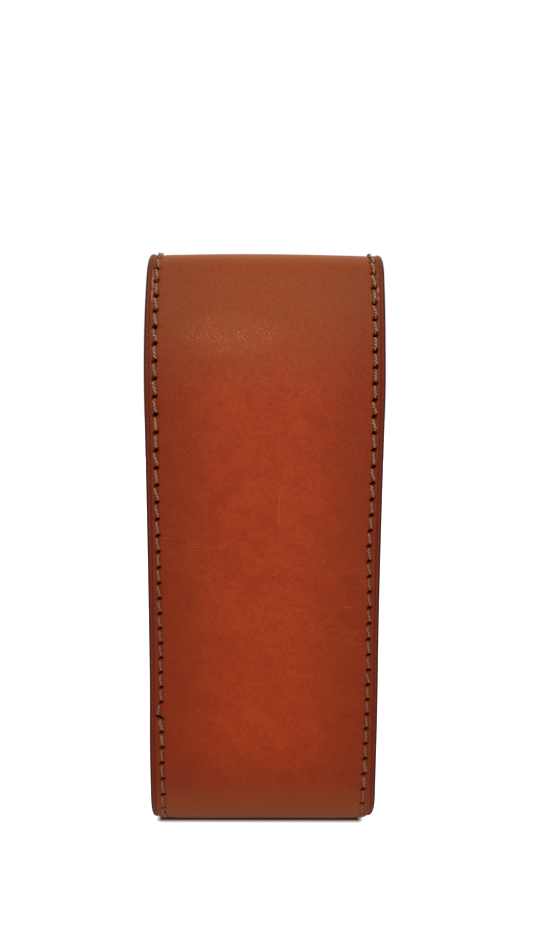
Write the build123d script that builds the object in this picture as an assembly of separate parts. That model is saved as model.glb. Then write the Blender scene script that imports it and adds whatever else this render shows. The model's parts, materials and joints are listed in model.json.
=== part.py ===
from build123d import *
import os
from math import atan2, cos, degrees, radians, sin

# A leather pen case that stands on its base. Its flap goes over the top and closes on the front.
# X runs across the width, Y from the back (minus) to the front (plus), Z up from the base.
# All sizes are in millimetres and all angles in degrees.

# Overall size
width = 66.0
depth = 32.0
height = 170.0

# Side profile of the back, from the crest down to the base
top_roll = 12.8
shoulder_radius = 75.0
shoulder_lean = 26.0
waist_splay = 2.5
base_back_roll = 12.5

# Side profile of the front
crest_flat = 1.9
base_front_roll = 6.5
mouth_height = 134.0
cover_end_height = 66.0
cover_corner = 11.0

# Leather and lining
leather = 2.1
lining = 0.6
gusset_leather = 1.5
divider_leather = 1.2
snap_gap = 1.6

# Side gussets, moulded as pans whose flange is sewn to the outer leather
flange_width = 6.0
gusset_top_height = 138.0
flap_clearance = 0.5

# Dividers between the pen slots
divider_drop = 9.0
divider_flange = 5.0
lining_margin = 0.2

# Folds, where the flap flexes
fold_gap = 0.3
front_fold_angle = 45.0
back_fold_angle = 167.0

# Stitching
stitch_inset = 3.0
stitch_pitch = 4.7
stitch_share = 0.74
thread = 0.9
thread_proud = 0.3
groove_depth = 0.3
groove_width = 1.3
hole = 1.0
crease_inset = 1.4
crease_width = 0.5
crease_depth = 0.25

# Press stud
snap_inset = 14.0
cap_radius = 6.25
cap_rim = 0.5
cap_crown = 1.2
barrel_radius = 1.7
snap_fit = 0.05
socket_flange_radius = 5.5
socket_flange = 0.5
socket_radius = 4.7
socket_bore = 2.6
socket_floor = 0.7
socket_clearance = 0.3
spring_wire = 0.5
spring_radius = 2.9
spring_clearance = 0.1
stud_flange_radius = 4.5
stud_flange = 0.5
stud_neck = 1.6
stud_head = 1.95
stud_head_length = 0.65
stud_top_clearance = 0.25
post_radius = 1.2
post_head_radius = 4.0
post_head = 0.5
recess_clearance = 0.1

half_width = width / 2
back = -depth / 2
front = depth / 2
lined_leather = leather + lining
panel_face = front - lined_leather - snap_gap
snap_height = cover_end_height + snap_inset


class Bend:
    """A round stretch of leather about a centre. Turning to the left, its centre lies inside."""

    def __init__(self, centre, radius, first, last):
        self.centre = centre
        self.radius = radius
        self.first = first
        self.last = last
        self.turn = 1 if last > first else -1
        self.length = radius * radians(abs(last - first))

    def angle(self, distance):
        return self.first + self.turn * degrees(distance / self.radius)

    def point(self, distance, inward):
        reach = self.radius - self.turn * inward
        angle = radians(self.angle(distance))
        return (self.centre[0] + reach * cos(angle), self.centre[1] + reach * sin(angle))

    def edge(self, start, end, inward):
        reach = self.radius - self.turn * inward
        return CenterArc(self.centre, reach, self.angle(start), self.angle(end) - self.angle(start))


class Run:
    """A straight stretch of leather with the inside on its left."""

    def __init__(self, start, end):
        self.start = Vector(*start)
        self.along = (Vector(*end) - self.start).normalized()
        self.inside = Vector(-self.along.Y, self.along.X)
        self.length = (Vector(*end) - self.start).length

    def point(self, distance, inward):
        spot = self.start + self.along * distance + self.inside * inward
        return (spot.X, spot.Y)

    def edge(self, start, end, inward):
        return Line(self.point(start, inward), self.point(end, inward))


class Strip:
    """Stretches in one line. Distances run along the outer face, from the first end."""

    def __init__(self, *stretches):
        self.stretches = stretches

    def reach(self, stretch):
        before = self.stretches[:self.stretches.index(stretch)]
        return sum(earlier.length for earlier in before)

    def end_of(self, stretch):
        return self.reach(stretch) + stretch.length

    def parts(self, start, end):
        for stretch in self.stretches:
            origin = self.reach(stretch)
            low = max(start - origin, 0)
            high = min(end - origin, stretch.length)
            if high - low > 0.000001:
                yield stretch, low, high

    def edges(self, start, end, inward):
        return [stretch.edge(low, high, inward) for stretch, low, high in self.parts(start, end)]

    def point(self, distance, inward):
        for stretch in self.stretches:
            if distance <= self.end_of(stretch) + 0.000001:
                return stretch.point(distance - self.reach(stretch), inward)

    def band(self, start, end, outer, inner, left, right):
        """A layer between two depths, from one distance to another, and from left to right."""
        outline = self.edges(start, end, outer)
        outline += self.edges(start, end, inner)
        outline.append(Line(self.point(start, outer), self.point(start, inner)))
        outline.append(Line(self.point(end, outer), self.point(end, inner)))
        return slab(outline, left, right)


def slab(outline, left, right):
    """A closed side outline in Y and Z, made solid from left to right."""
    return extrude(Plane.YZ.offset(left) * make_face(outline), amount=right - left)


# Centres of the round stretches of the back, which run smoothly into each other
shoulder_y = back + shoulder_radius
base_back_y = shoulder_y - (shoulder_radius - base_back_roll) * cos(radians(waist_splay))
top_roll_y = shoulder_y - (shoulder_radius - top_roll) * cos(radians(shoulder_lean))
top_roll_z = height - top_roll
shoulder_z = top_roll_z - (shoulder_radius - top_roll) * sin(radians(shoulder_lean))
waist_rise = shoulder_z - base_back_roll
waist_radius = (waist_rise / sin(radians(waist_splay)) - base_back_roll - shoulder_radius) / 2
waist_y = base_back_y - (base_back_roll + waist_radius) * cos(radians(waist_splay))
waist_z = base_back_roll + (base_back_roll + waist_radius) * sin(radians(waist_splay))
front_top_y = top_roll_y + crest_flat
front_top_roll = front - front_top_y
front_top_z = height - front_top_roll
base_front_y = panel_face - base_front_roll

cover_drop = Run((front, cover_end_height), (front, front_top_z))
front_top = Bend((front_top_y, front_top_z), front_top_roll, 0, 90)
crest = Run((front_top_y, height), (top_roll_y, height))
back_top = Bend((top_roll_y, top_roll_z), top_roll, 90, 180 - shoulder_lean)
shoulder = Bend((shoulder_y, shoulder_z), shoulder_radius, 180 - shoulder_lean, 180 + waist_splay)
waist = Bend((waist_y, waist_z), waist_radius, waist_splay, -waist_splay)
base_back = Bend((base_back_y, base_back_roll), base_back_roll, 180 - waist_splay, 270)
base = Run((base_back_y, 0), (base_front_y, 0))
base_front = Bend((base_front_y, base_front_roll), base_front_roll, 270, 360)
panel = Run((panel_face, base_front_roll), (panel_face, mouth_height))
strip = Strip(cover_drop, front_top, crest, back_top, shoulder, waist, base_back, base, base_front, panel)

# Distances along the strip where pieces begin and end
front_fold = strip.reach(front_top) + front_top_roll * radians(front_fold_angle)
shoulder_turn = back_fold_angle - (180 - shoulder_lean)
back_fold = strip.reach(shoulder) + shoulder_radius * radians(shoulder_turn)
mouth = strip.end_of(panel)


def distance_down_back(level):
    """The distance along the strip at which the outer face of the back is at a height."""
    low = strip.reach(shoulder)
    high = strip.end_of(waist)
    while high - low > 0.0001:
        middle = (low + high) / 2
        if strip.point(middle, 0)[1] > level:
            low = middle
        else:
            high = middle
    return low


def at_left(inset, size):
    """Left and right limits of a thing of a given width, centred at an inset from the left edge."""
    return (-half_width + inset - size / 2, -half_width + inset + size / 2)


def on_both_sides(piece):
    return [piece, mirror(piece, Plane.YZ)]


def hole_spots(start, end):
    """Distances of the needle holes of one row, at an even pitch."""
    count = round((end - start) / stitch_pitch)
    step = (end - start) / count
    return [start + (number + 0.5) * step for number in range(count)]


def row_holes(start, end, outer, inner):
    """The needle holes of the left row, from one depth to another."""
    left, right = at_left(stitch_inset, hole)
    return [strip.band(spot - hole / 2, spot + hole / 2, outer, inner, left, right)
            for spot in hole_spots(start, end)]


def row_stitches(start, end):
    """The stitches of the left row, each in the groove between two needle holes.

    The ones under the base lie flush with it, so that the case stands on its leather.
    """
    left, right = at_left(stitch_inset, thread)
    spots = hole_spots(start, end)
    bar = (spots[1] - spots[0]) * stitch_share
    stitches = []
    for spot, following in zip(spots, spots[1:]):
        start_of_bar = (spot + following - bar) / 2
        end_of_bar = start_of_bar + bar
        ends = [strip.point(start_of_bar, -thread_proud), strip.point(end_of_bar, -thread_proud)]
        under_base = min(level for _, level in ends) < 0
        outer = 0 if under_base else -thread_proud
        stitches.append(strip.band(start_of_bar, end_of_bar, outer, groove_depth, left, right))
    return stitches


def edge_grooves(start, end):
    """The stitching groove and the crease line that run along both edges of the strip."""
    left, right = at_left(stitch_inset, groove_width)
    grooves = on_both_sides(strip.band(start, end, -thread_proud, groove_depth, left, right))
    left, right = at_left(crease_inset, crease_width)
    grooves += on_both_sides(strip.band(start, end, -thread_proud, crease_depth, left, right))
    return grooves


def cover_outline(inset):
    """Edges of the flat lower end of the cover, in X and Z, moved in by an inset."""
    centre_x = half_width - cover_corner
    centre_z = cover_end_height + cover_corner
    low = cover_end_height + inset
    radius = cover_corner - inset
    return [
        CenterArc((-centre_x, centre_z), radius, 180, 90),
        Line((-centre_x, low), (centre_x, low)),
        CenterArc((centre_x, centre_z), radius, 270, 90),
    ]


def cover_end_face(inset):
    half = half_width - inset
    level = cover_end_height + cover_corner
    return make_face(cover_outline(inset) + [Line((half, level), (-half, level))])


def cover_end_groove(inset, size, deep):
    """A groove that follows the rounded lower end of the cover."""
    ring = cover_end_face(inset - size / 2) - cover_end_face(inset + size / 2)
    return extrude(front_plane(front + thread_proud) * ring, amount=thread_proud + deep)


def front_plane(level):
    """A plane across the case at a place along Y, facing the back, with X to the right and Z up."""
    return Plane.XZ.offset(-level)


def cover_end_path():
    return Wire(cover_outline(stitch_inset))


def cover_end_holes():
    path = cover_end_path()
    count = round(path.length / stitch_pitch)
    size = lined_leather + 2 * thread_proud
    punch = Pos(0, 0, size / 2) * Box(hole, hole, size)
    return [front_plane(front + thread_proud) * Pos(path @ (number / count)) * punch
            for number in range(count + 1)]


def cover_end_stitches():
    """Stitches round the lower end of the cover, each turned along the row."""
    path = cover_end_path()
    count = round(path.length / stitch_pitch)
    tall = thread_proud + groove_depth
    bar = Pos(0, 0, tall / 2) * Box(path.length / count * stitch_share, thread, tall)
    stitches = []
    for number in range(count):
        share = (number + 0.5) / count
        along = path % share
        turn = Rot(0, 0, degrees(atan2(along.Y, along.X)))
        stitches.append(front_plane(front + thread_proud) * Pos(path @ share) * turn * bar)
    return stitches


def mouth_spots():
    """Places across the front panel where the mouth row has its needle holes."""
    reach = half_width - 2 * stitch_inset
    count = round(2 * reach / stitch_pitch)
    return [-reach + 2 * reach * number / count for number in range(count + 1)]


def across_mouth(middle, length, size, outer, inner):
    """A block in the mouth row, centred across the case, between two depths in the front panel."""
    place = Pos(middle, panel_face - (outer + inner) / 2, mouth_height - stitch_inset)
    return place * Box(length, inner - outer, size)


def turned(outline):
    """A round piece about the line of the press stud. The outline gives depth and radius."""
    return Pos(0, 0, snap_height) * revolve(Plane.YZ * make_face(outline), Axis.Y)


def profile(*corners):
    """Straight edges between corners given as depth behind the front and radius."""
    spots = [(front - deep, radius) for deep, radius in corners]
    return Polyline(*spots, close=True).edges()


def stud_depths():
    """Depths of the stud's top and of the front panel's face, behind the front of the cover."""
    return leather + socket_floor + stud_top_clearance, lined_leather + snap_gap


def build_snap_cap():
    end = leather + socket_floor - snap_fit
    dome = (cap_radius ** 2 + (cap_crown - cap_rim) ** 2) / (2 * (cap_crown - cap_rim))
    half_way = cap_radius / 2
    rise = cap_crown - dome + (dome ** 2 - half_way ** 2) ** 0.5
    rim = Polyline((front + cap_rim, cap_radius), (front, cap_radius), (front, barrel_radius),
                   (front - end, barrel_radius), (front - end, 0), (front + cap_crown, 0))
    crown = ThreePointArc((front + cap_crown, 0), (front + rise, half_way), (front + cap_rim, cap_radius))
    return turned(rim.edges() + [crown])


def build_snap_socket():
    floor = leather + socket_floor
    rim = stud_depths()[1] - socket_clearance
    groove = spring_radius + spring_wire / 2 + spring_clearance
    middle = spring_depth()
    reach = spring_wire / 2 + spring_clearance
    return turned(profile(
        (leather, barrel_radius + snap_fit), (leather, socket_flange_radius),
        (leather + socket_flange, socket_flange_radius), (leather + socket_flange, socket_radius),
        (rim, socket_radius), (rim, socket_bore),
        (middle + reach, socket_bore), (middle + reach, groove),
        (middle - reach, groove), (middle - reach, socket_bore),
        (floor, socket_bore), (floor, barrel_radius + snap_fit)))


def spring_depth():
    """Depth of the ring spring, midway along the socket's bore."""
    return (leather + socket_floor + stud_depths()[1] - socket_clearance) / 2


def build_snap_spring():
    wire = Pos(front - spring_depth(), spring_radius) * Circle(spring_wire / 2)
    return Pos(0, 0, snap_height) * revolve(Plane.YZ * wire, Axis.Y)


def build_snap_stud():
    top, face = stud_depths()
    neck = top + stud_head_length
    bore = post_radius + snap_fit
    tip = (top + neck) / 2
    return turned(profile(
        (face + stud_flange, bore), (face + stud_flange, stud_flange_radius), (face, stud_flange_radius),
        (face, stud_neck), (neck, stud_neck), (neck, stud_head), (top, stud_head), (top, 0),
        (tip, 0), (tip, bore)))


def build_snap_post():
    top, face = stud_depths()
    tip = top + stud_head_length / 2 + snap_fit
    inner = face + leather
    return turned(profile(
        (tip, 0), (tip, post_radius), (inner - post_head, post_radius),
        (inner - post_head, post_head_radius), (inner, post_head_radius), (inner, 0)))


def stud_seat():
    """The hole and the two shallow recesses in the front panel that take the stud and its post."""
    face = stud_depths()[1]
    stud_recess = stud_flange_radius + recess_clearance
    post_recess = post_head_radius + recess_clearance
    shank = post_radius + recess_clearance
    inner = face + leather
    return turned(profile(
        (face - snap_gap, 0), (face - snap_gap, stud_recess), (face + stud_flange, stud_recess),
        (face + stud_flange, shank), (inner - post_head, shank), (inner - post_head, post_recess),
        (inner, post_recess), (inner, 0)))


def snap_hole(outer, inner, radius):
    return turned(profile((outer, 0), (outer, radius), (inner, radius), (inner, 0)))


def build_outer_shell():
    """Back, base and front panel, cut as one strip of leather."""
    shell = strip.band(shell_start, mouth, 0, leather, -half_width, half_width)
    holes = []
    for punch in row_holes(shell_start, mouth, -thread_proud, leather):
        holes += on_both_sides(punch)
    for middle in mouth_spots():
        holes.append(across_mouth(middle, hole, hole, -thread_proud, leather))
    reach = mouth_spots()[-1] + hole
    holes.append(across_mouth(0, 2 * reach, groove_width, -thread_proud, groove_depth))
    return shell - holes - edge_grooves(shell_start, mouth) - stud_seat()


def build_shell_lining():
    reach = half_width - flange_width - lining_margin
    return strip.band(shell_start, mouth, leather, lined_leather, -reach, reach)


def outside_swing():
    """The space above the rear fold that the front of the flap sweeps through as it swings up."""
    fold_y, fold_z = strip.point(back_fold, 0)
    reach = front - lined_leather - flap_clearance - fold_y
    above = Pos(0, fold_y + depth, fold_z + depth) * Box(width, 2 * depth, 2 * depth)
    return above - Pos(0, fold_y, fold_z) * Rot(0, 90, 0) * Cylinder(reach, width)


def build_left_gusset():
    """The side wall is set in from the edge. Its flange turns out, flush with the edge of the leather."""
    top = distance_down_back(gusset_top_height)
    clear = lined_leather + flap_clearance
    lip = mouth_height - cover_end_height
    outline = strip.edges(lip, top, clear)
    outline.append(Line(strip.point(top, clear), strip.point(top, leather)))
    outline += strip.edges(top, mouth, leather)
    outline.append(Line(strip.point(mouth, leather), strip.point(lip, clear)))
    inside = -half_width + flange_width
    wall = slab(outline, inside - gusset_leather, inside) - outside_swing()
    flange = strip.band(top, mouth, leather, leather + gusset_leather, -half_width, inside)
    holes = row_holes(shell_start, mouth, leather / 2, leather + gusset_leather)
    return wall + flange - holes


def build_left_divider():
    """A wall between two slots with a flange glued to the back lining and one to the front lining."""
    top = distance_down_back(mouth_height - divider_drop)
    low_back = strip.reach(base_back)
    low_front = strip.reach(panel)
    high_front = mouth - divider_drop
    outline = strip.edges(top, high_front, lined_leather)
    outline.append(Line(strip.point(top, lined_leather), strip.point(high_front, lined_leather)))
    right = -slot_width / 2
    left = right - divider_leather
    far = left - divider_flange
    inner = lined_leather + divider_leather
    wall = slab(outline, left, right)
    wall += strip.band(top, low_back, lined_leather, inner, far, right)
    return wall + strip.band(low_front, high_front, lined_leather, inner, far, right)


def build_top_band():
    band = strip.band(band_start, band_end, 0, leather, -half_width, half_width)
    holes = []
    for punch in row_holes(band_start, band_end, -thread_proud, leather):
        holes += on_both_sides(punch)
    return band - holes - edge_grooves(band_start, band_end)


def build_band_lining():
    lining_band = strip.band(band_start, band_end, leather, lined_leather, -half_width, half_width)
    holes = []
    for punch in row_holes(band_start, band_end, leather / 2, lined_leather):
        holes += on_both_sides(punch)
    return lining_band - holes


def cover_layer(outer, inner):
    """One layer of the cover with its lower corners rounded."""
    layer = strip.band(0, cover_top, outer, inner, -half_width, half_width)
    corners = layer.edges().filter_by(Axis.Y).sort_by(Axis.Z)[:2]
    return fillet(corners, cover_corner)


def cover_holes():
    holes = cover_end_holes()
    for punch in row_holes(cover_corner, cover_top, -thread_proud, lined_leather):
        holes += on_both_sides(punch)
    return holes


def build_flap_cover():
    cover = cover_layer(0, leather) - cover_holes() - edge_grooves(cover_corner, cover_top)
    cover -= cover_end_groove(stitch_inset, groove_width, groove_depth)
    cover -= cover_end_groove(crease_inset, crease_width, crease_depth)
    return cover - snap_hole(-cap_crown, leather, barrel_radius + snap_fit)


def build_cover_lining():
    layer = cover_layer(leather, lined_leather) - cover_holes()
    return layer - snap_hole(leather / 2, lined_leather, socket_flange_radius + recess_clearance)


def build_mouth_stitches():
    spots = mouth_spots()
    bar = (spots[1] - spots[0]) * stitch_share
    return [across_mouth((spot + following) / 2, bar, thread, -thread_proud, groove_depth)
            for spot, following in zip(spots, spots[1:])]


shell_start = back_fold + fold_gap / 2
band_start = front_fold + fold_gap / 2
band_end = back_fold - fold_gap / 2
cover_top = front_fold - fold_gap / 2
slot_width = (width - 2 * flange_width - 2 * divider_leather) / 3

left_gusset = build_left_gusset()
left_divider = build_left_divider()
shell_rows = row_stitches(shell_start, mouth)
band_rows = row_stitches(band_start, band_end)
cover_rows = row_stitches(cover_corner, cover_top)

nodes = {
    "outer_shell": build_outer_shell(),
    "shell_lining": build_shell_lining(),
    "left_gusset": left_gusset,
    "right_gusset": mirror(left_gusset, Plane.YZ),
    "left_divider": left_divider,
    "right_divider": mirror(left_divider, Plane.YZ),
    "top_band": build_top_band(),
    "band_lining": build_band_lining(),
    "flap_cover": build_flap_cover(),
    "cover_lining": build_cover_lining(),
    "snap_cap": build_snap_cap(),
    "snap_socket": build_snap_socket(),
    "snap_spring": build_snap_spring(),
    "snap_stud": build_snap_stud(),
    "snap_post": build_snap_post(),
    "left_shell_stitching": Compound(shell_rows),
    "right_shell_stitching": Compound([mirror(stitch, Plane.YZ) for stitch in shell_rows]),
    "left_band_stitching": Compound(band_rows),
    "right_band_stitching": Compound([mirror(stitch, Plane.YZ) for stitch in band_rows]),
    "left_cover_stitching": Compound(cover_rows),
    "right_cover_stitching": Compound([mirror(stitch, Plane.YZ) for stitch in cover_rows]),
    "cover_end_stitching": Compound(cover_end_stitches()),
    "mouth_stitching": Compound(build_mouth_stitches()),
}

os.makedirs("parts", exist_ok=True)
for name, shape in nodes.items():
    export_step(shape, f"parts/{name}.step")
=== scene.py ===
import json
from math import cos, pi, radians, sin, sqrt

import bpy
import numpy as np
from mathutils import Matrix, Vector


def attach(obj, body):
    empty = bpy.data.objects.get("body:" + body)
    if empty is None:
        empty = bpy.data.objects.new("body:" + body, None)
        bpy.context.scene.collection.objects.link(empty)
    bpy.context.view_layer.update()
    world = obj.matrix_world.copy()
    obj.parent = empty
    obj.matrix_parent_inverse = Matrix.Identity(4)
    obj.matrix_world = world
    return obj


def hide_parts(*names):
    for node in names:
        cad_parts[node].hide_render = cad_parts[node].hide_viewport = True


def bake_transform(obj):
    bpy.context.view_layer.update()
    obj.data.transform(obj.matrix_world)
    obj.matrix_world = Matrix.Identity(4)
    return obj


# A leather pen case, seen from its back. X runs across the width, Y from the back to the front, Z up.
# Sizes are in millimetres and angles in degrees. Points are turned into metres as a mesh is made.

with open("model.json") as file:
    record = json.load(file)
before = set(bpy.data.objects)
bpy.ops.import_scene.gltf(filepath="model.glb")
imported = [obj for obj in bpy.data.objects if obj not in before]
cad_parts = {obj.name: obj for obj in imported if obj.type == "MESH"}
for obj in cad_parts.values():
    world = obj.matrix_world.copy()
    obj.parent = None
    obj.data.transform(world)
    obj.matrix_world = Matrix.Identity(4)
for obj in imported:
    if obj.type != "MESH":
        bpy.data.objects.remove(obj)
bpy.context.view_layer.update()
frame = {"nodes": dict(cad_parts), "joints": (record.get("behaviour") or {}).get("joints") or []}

MM = 0.001

# Overall size
width = 66.0
depth = 32.0
height = 170.0

# Side profile
top_roll = 12.8
shoulder_radius = 75.0
shoulder_lean = 26.0
waist_splay = 2.5
base_back_roll = 12.5
crest_flat = 1.9
base_front_roll = 6.5
mouth_height = 134.0
cover_end_height = 66.0
cover_corner = 11.0
mouth_corner = 0.9

# Leather
leather = 2.1
lining = 0.6
gusset_leather = 1.5
snap_gap = 1.6
edge_round = 0.8
lining_round = 0.2
flange_width = 6.0
gusset_top_height = 138.0
gusset_bend = 1.2
gusset_rim = 1.0
flap_clearance = 0.5
lining_margin = 0.2

# Stitching
stitch_inset = 3.05
stitch_pitch = 4.6
left_low_draw = 0.3
left_foot_draw = 0.4
torn_draw = 0.45
right_waist_draw = 0.6
right_foot_draw = 0.75
right_pull = 0.2
row_ripple = 0.05
hole_scatter = 0.06
ply_radius = 0.22
ply_offset = 0.2
low_thinning = 0.15
thread_twist = 1.8
thread_rings = 22
thread_sides = 7
stitch_seat = -0.08
stitch_hump = 0.05
stitch_sink = 0.4
stitch_dip = 1.15
stitch_slant = 0.28
low_straightening = 0.45
thread_start = 0.72
plunge = 0.42
double_spread = 0.34
double_rise = 0.08
left_double_levels = (36.5, 26.5)
right_double_levels = (23.0, 17.0)
strayed_height = 39.5
strayed_drift = 0.85
crest_loop = 0.45
crest_loop_drop = 4.0
crest_loop_reach = 3.2

# Pressed lines and needle holes. The holes are drawn to flatter slits towards the foot
crease_inset = 1.4
crease_half = 0.23
crease_depth = 0.26
ridge_inset = 1.95
ridge_half = 0.22
groove_half = 0.62
groove_depth = 0.22
hole_long = 0.74
hole_wide = 0.52
hole_depth = 1.3
hole_turn = 42.0
foot_hole_long = 0.64
foot_hole_wide = 0.33
foot_hole_turn = 22.0
slit_long = 1.15
slit_wide = 0.36
slit_turn = -24.0
pucker = 0.14
pucker_reach = 1.15

# How the leather has given way with use
edge_swell = 0.24
edge_pinch = 0.12
foot_pinch = 0.38
crown_rise = 0.3
crown_fall = 0.25
crown_reach = 14.0
crest_curl = 0.35
left_corner_lift = 0.5
right_corner_lift = 0.95
foot_lift = 0.35
foot_shift = 4.0
foot_reach = 9.0
wave_height = 0.05

# Press stud
snap_inset = 14.0
cap_radius = 6.25
cap_rim = 0.5
cap_crown = 1.2
ring_radius = 4.9
ring_half = 0.16
ring_depth = 0.09
stud_radius = 4.5
stud_sink = 0.16
seat_margin = 0.5
seat_spread = 3.0

# How finely the leather is divided. Its rows lie close together at needle holes and open ends
back_samples = 4000
fine_step = 0.02
wide_step = 0.62
close_step = 0.2
close_reach = 0.55
end_reach = 4.4
hole_reach = 4.0
seam_reach = 3.0
leather_step = 2.2
lining_step = 4.0
lining_row_step = 1.2
gusset_rows = 60

# The camera stands where the photograph was taken from
camera_place = (-0.415, -199.01, 131.08)
camera_pitch = 7.15
camera_yaw = 0.3
camera_roll = 0.281
camera_lens = 25.4
camera_sensor = 36.0

# Light. The floor is shaded close under the case, where its colour is a painted shadow tint, and turns white
# within a short way of it
glow_start = 3.0
glow_reach = 2.6
shade_reach = 4.4
shade_shift = 1.0
gloss_reach = 30.0
gloss_level = 0.4
room_light = 0.42
white = (1.0, 1.0, 1.0, 1.0)
pale_tint = (0.8, 0.79, 0.78, 1.0)
shade_tint = (0.2, 0.09, 0.045, 1.0)

half_width = width / 2
back = -depth / 2
front = depth / 2
lined_leather = leather + lining
panel_face = front - lined_leather - snap_gap
snap_height = cover_end_height + snap_inset
seam_depth = leather + gusset_leather


def smooth(share):
    """A soft step from 0 to 1."""
    share = np.clip(share, 0, 1)
    return share * share * (3 - 2 * share)


def bell(gap, reach):
    """1 where the gap is nothing, fading out over a reach to both sides."""
    return np.exp(-(gap / reach) ** 2)


class Bend:
    """A round stretch of the leather's side line, about a centre given in Y and Z."""

    def __init__(self, centre, radius, first, last):
        self.centre = np.array(centre)
        self.radius = radius
        self.first = radians(first)
        self.turn = 1 if last > first else -1
        self.length = radius * radians(abs(last - first))

    def at(self, distance):
        angle = self.first + self.turn * distance / self.radius
        ray = np.stack([np.cos(angle), np.sin(angle)], axis=-1)
        return self.centre + self.radius * ray, self.turn * ray


class Run:
    """A straight stretch of the leather's side line, with the outside on its right."""

    def __init__(self, start, end):
        self.start = np.array(start)
        reach = np.array(end) - self.start
        self.length = np.hypot(*reach)
        self.along = reach / self.length
        self.outward = np.array([self.along[1], -self.along[0]])

    def at(self, distance):
        points = self.start + self.along * distance[..., None]
        return points, np.broadcast_to(self.outward, points.shape)


class SideLine:
    """The outer face of the leather from the side. Distances run from the cover's end, up and over the top,
    down the back, under the base and up the front panel to the mouth."""

    def __init__(self, *stretches):
        self.stretches = stretches
        self.starts = np.cumsum([0.0] + [stretch.length for stretch in stretches])

    def reach(self, stretch):
        return self.starts[self.stretches.index(stretch)]

    def end_of(self, stretch):
        return self.reach(stretch) + stretch.length

    def at(self, distance):
        """Points and outward directions in Y and Z."""
        distance = np.asarray(distance, float)
        points = np.zeros(distance.shape + (2,))
        outward = np.zeros(distance.shape + (2,))
        for stretch, start in zip(self.stretches, self.starts):
            here = distance >= start if start else np.full(distance.shape, True)
            points[here], outward[here] = stretch.at(distance[here] - start)
        return points, outward

    def place(self, across, distance, rise):
        """Points in space, at a height above the outer face. Nothing goes below the floor."""
        across, distance, rise = np.broadcast_arrays(across, distance, rise)
        points, outward = self.at(distance)
        side = points + outward * rise[..., None]
        across = across + edge_sway(across, distance)
        spots = np.concatenate([across[..., None], side], axis=-1)
        spots[..., 2] = np.maximum(spots[..., 2], 0)
        return spots


def side_line():
    """The same bends and runs that the solid leather has."""
    shoulder_y = back + shoulder_radius
    base_back_y = shoulder_y - (shoulder_radius - base_back_roll) * cos(radians(waist_splay))
    top_roll_y = shoulder_y - (shoulder_radius - top_roll) * cos(radians(shoulder_lean))
    top_roll_z = height - top_roll
    shoulder_z = top_roll_z - (shoulder_radius - top_roll) * sin(radians(shoulder_lean))
    waist_rise = shoulder_z - base_back_roll
    waist_radius = (waist_rise / sin(radians(waist_splay)) - base_back_roll - shoulder_radius) / 2
    waist_y = base_back_y - (base_back_roll + waist_radius) * cos(radians(waist_splay))
    waist_z = base_back_roll + (base_back_roll + waist_radius) * sin(radians(waist_splay))
    front_top_y = top_roll_y + crest_flat
    front_top_roll = front - front_top_y
    front_top_z = height - front_top_roll
    base_front_y = panel_face - base_front_roll
    return SideLine(
        Run((front, cover_end_height), (front, front_top_z)),
        Bend((front_top_y, front_top_z), front_top_roll, 0, 90),
        Run((front_top_y, height), (top_roll_y, height)),
        Bend((top_roll_y, top_roll_z), top_roll, 90, 180 - shoulder_lean),
        Bend((shoulder_y, shoulder_z), shoulder_radius, 180 - shoulder_lean, 180 + waist_splay),
        Bend((waist_y, waist_z), waist_radius, waist_splay, -waist_splay),
        Bend((base_back_y, base_back_roll), base_back_roll, 180 - waist_splay, 270),
        Run((base_back_y, 0), (base_front_y, 0)),
        Bend((base_front_y, base_front_roll), base_front_roll, 270, 360),
        Run((panel_face, base_front_roll), (panel_face, mouth_height)),
    )


line = side_line()
_, _, crest, back_top, _, _, base_back, base, base_front, panel = line.stretches
crest_middle = line.reach(crest) + crest_flat / 2
mouth = line.end_of(panel)
stud_distance = mouth - mouth_height + snap_height


def down_back(level):
    """The distance at which the back is at a height."""
    distances = np.linspace(line.reach(back_top), line.end_of(base_back), back_samples)
    levels = line.at(distances)[0][:, 1]
    return float(np.interp(-level, -levels, distances))


def about(distance, level, reach):
    """1 at a height on the back, fading out over a reach to both sides."""
    return bell(distance - down_back(level), reach)


def edge_sway(across, distance):
    """The cut edges run a little in and out of line, outside the gussets' walls."""
    right = edge_swell * (about(distance, 168, 9) + about(distance, 38, 22))
    right = right - edge_pinch * about(distance, 144, 10)
    left = edge_swell * about(distance, 27, 14)
    outward = np.where(across > 0, right, left) - foot_pinch * about(distance, 3, 5) * (across > 0)
    outside = smooth((np.abs(across) - half_width + flange_width - 1.5) / 4)
    return np.sign(across) * outward * outside


# Meshes


def add_object(name, data):
    thing = bpy.data.objects.new(name, data)
    bpy.context.scene.collection.objects.link(thing)
    return thing


def make_object(name, points, face_groups, material, attributes, sharp=50):
    """A smooth-shaded object from points in millimetres and arrays of faces."""
    mesh = bpy.data.meshes.new(name)
    corners = np.concatenate([np.asarray(group).ravel() for group in face_groups])
    sizes = np.concatenate([np.full(len(group), len(group[0])) for group in face_groups])
    starts = np.concatenate([[0], np.cumsum(sizes)[:-1]])
    mesh.vertices.add(len(points))
    mesh.vertices.foreach_set("co", (points * MM).astype(np.float32).ravel())
    mesh.loops.add(len(corners))
    mesh.loops.foreach_set("vertex_index", corners.astype(np.int32))
    mesh.polygons.add(len(sizes))
    mesh.polygons.foreach_set("loop_start", starts.astype(np.int32))
    mesh.polygons.foreach_set("use_smooth", np.ones(len(sizes), bool))
    mesh.update(calc_edges=True)
    mesh.validate()
    for label, values in attributes.items():
        vector = values.ndim == 2
        attribute = mesh.attributes.new(label, "FLOAT_VECTOR" if vector else "FLOAT", "POINT")
        attribute.data.foreach_set("vector" if vector else "value", values.astype(np.float32).ravel())
    mesh.set_sharp_from_angle(angle=radians(sharp))
    mesh.materials.append(material)
    return add_object(name, mesh)


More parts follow.
